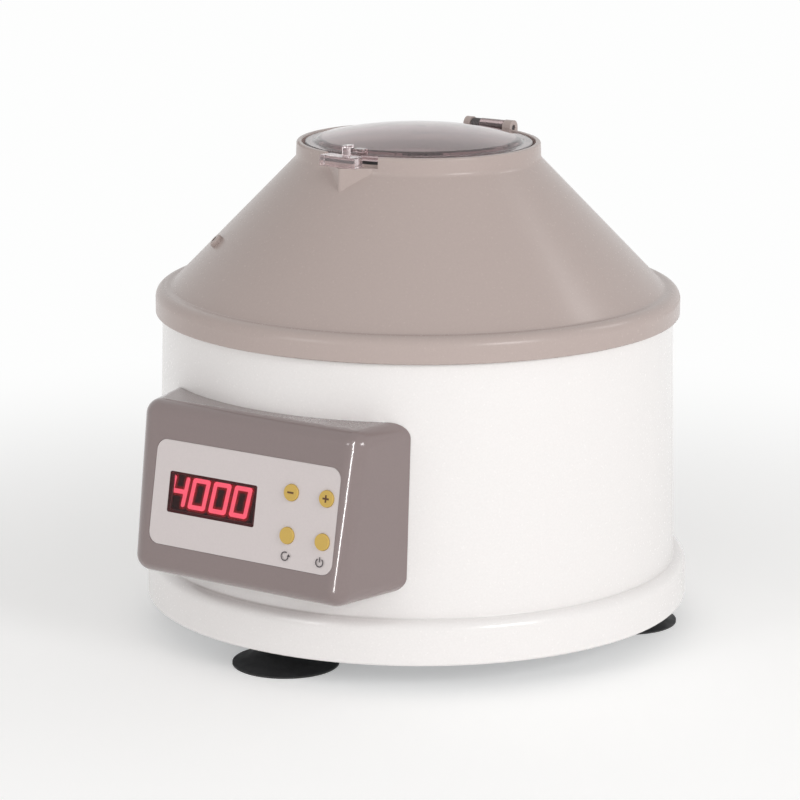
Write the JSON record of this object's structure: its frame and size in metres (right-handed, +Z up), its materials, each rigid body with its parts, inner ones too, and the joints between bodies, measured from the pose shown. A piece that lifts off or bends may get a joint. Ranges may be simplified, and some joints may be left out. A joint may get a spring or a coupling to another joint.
{
  "type": "benchtop centrifuge",
  "caption": "Small drum-shaped bench centrifuge with a conical top cover, clear hinged lid with sliding latch, fixed-angle tube rotor and a front control box on suction feet.",
  "frame": {"origin": "middle of the footprint's bounding box, on the bench under the feet", "axes": "+Z up, +X to the right of someone facing the control box, which faces -Y"},
  "size_m": [0.265, 0.282, 0.2436],
  "materials": {
    "white_shell": "moulded, satin white",
    "grey_cover": "moulded, light warm grey",
    "grey_box": "moulded, warm grey",
    "clear_plastic": "clear polycarbonate",
    "label_film": "printed film, pale grey",
    "red_window": "dark red filter",
    "display_black": "black display block",
    "yellow_key": "moulded, ochre yellow",
    "black_rubber": "black",
    "grey_rubber": "dark grey",
    "black_plastic": "moulded, black",
    "steel_plate": "zinc-grey sheet",
    "zinc_steel": "zinc plated",
    "bright_steel": "turned, bright",
    "stainless": "drawn stainless sheet",
    "cast_aluminium": "cast and turned",
    "sleeve_aluminium": "drawn, anodised",
    "spring_steel": "dark, oiled",
    "motor_paint": "dark grey",
    "lamination": "stacked sheet iron",
    "copper": "enamelled copper wire",
    "brass": "plain",
    "carbon": "pressed carbon",
    "board_green": "solder mask"
  },
  "bodies": {
    "cabinet": {"body_housing": "white_shell", "base_plate": "steel_plate", "base_screws": "zinc_steel", "foot_front": "black_rubber", "foot_right": "black_rubber", "foot_left": "black_rubber", "foot_studs": "zinc_steel", "lock_nuts": "zinc_steel", "rubber_mounts": "grey_rubber", "mount_bolts": "zinc_steel", "motor_cradle": "steel_plate", "motor_housing": "motor_paint", "motor_end_cap": "cast_aluminium", "motor_bearings": "bright_steel", "motor_screws": "zinc_steel", "field_core": "lamination", "field_coils": "copper", "brush_holders": "brass", "carbon_brushes": "carbon", "speed_sensor": "black_plastic", "chamber_bowl": "stainless", "shaft_seal": "grey_rubber", "cover_gasket": "grey_rubber", "top_cover": "grey_cover", "cover_screws": "zinc_steel", "lid_gasket": "black_rubber", "hinge_pin": "bright_steel", "hinge_spring": "spring_steel", "lid_switch": "black_plastic", "control_box": "grey_box", "label_plate": "label_film", "display_lens": "red_window", "display_module": "display_black", "button_switches": "black_plastic", "circuit_board": "board_green", "board_screws": "zinc_steel", "box_screws": "zinc_steel", "mains_inlet": "black_plastic", "inlet_pins": "brass", "inlet_screws": "zinc_steel", "fuse_holder": "black_plastic", "transformer_core": "lamination", "transformer_coil": "copper", "supply_unit": "board_green"},
    "lid": {"lid": "clear_plastic"},
    "latch": {"latch_slider": "clear_plastic"},
    "rotor": {"motor_shaft": "bright_steel", "armature_core": "lamination", "armature_windings": "copper", "commutator": "copper", "speed_disc": "black_plastic", "rotor_head": "cast_aluminium", "tube_sleeves": "sleeve_aluminium", "last_sleeve": "sleeve_aluminium", "sleeve_cushions": "grey_rubber", "rotor_nut": "bright_steel"},
    "button_minus": {"button_minus": "yellow_key"},
    "button_plus": {"button_plus": "yellow_key"},
    "button_mode": {"button_mode": "yellow_key"},
    "button_run": {"button_run": "yellow_key"}
  },
  "joints": [
    {"name": "lid_hinge", "type": "hinge", "parent": "cabinet", "child": "lid", "pos_m": [0, 0.06599, 0.2368], "axis": [-1, 0, 0], "range_deg": [0, 105]},
    {"name": "latch_turn", "type": "hinge", "parent": "cabinet", "child": "latch", "pos_m": [0, 0.00849, 0.2312], "axis": [0, 0, 1], "range_deg": [0, 6.4]},
    {"name": "rotor_spin", "type": "hinge", "parent": "cabinet", "child": "rotor", "pos_m": [0, 0.00849, 0.2], "axis": [0, 0, 1], "continuous": true},
    {"name": "button_minus_press", "type": "slide", "parent": "cabinet", "child": "button_minus", "axis": [0, 0.9837, -0.1798], "range_m": [0, 0.0008], "stiffness_N_per_m": 400},
    {"name": "button_plus_press", "type": "slide", "parent": "cabinet", "child": "button_plus", "axis": [0, 0.9837, -0.1798], "range_m": [0, 0.0008], "stiffness_N_per_m": 400},
    {"name": "button_mode_press", "type": "slide", "parent": "cabinet", "child": "button_mode", "axis": [0, 0.9837, -0.1798], "range_m": [0, 0.0008], "stiffness_N_per_m": 400},
    {"name": "button_run_press", "type": "slide", "parent": "cabinet", "child": "button_run", "axis": [0, 0.9837, -0.1798], "range_m": [0, 0.0008], "stiffness_N_per_m": 400}
  ]
}
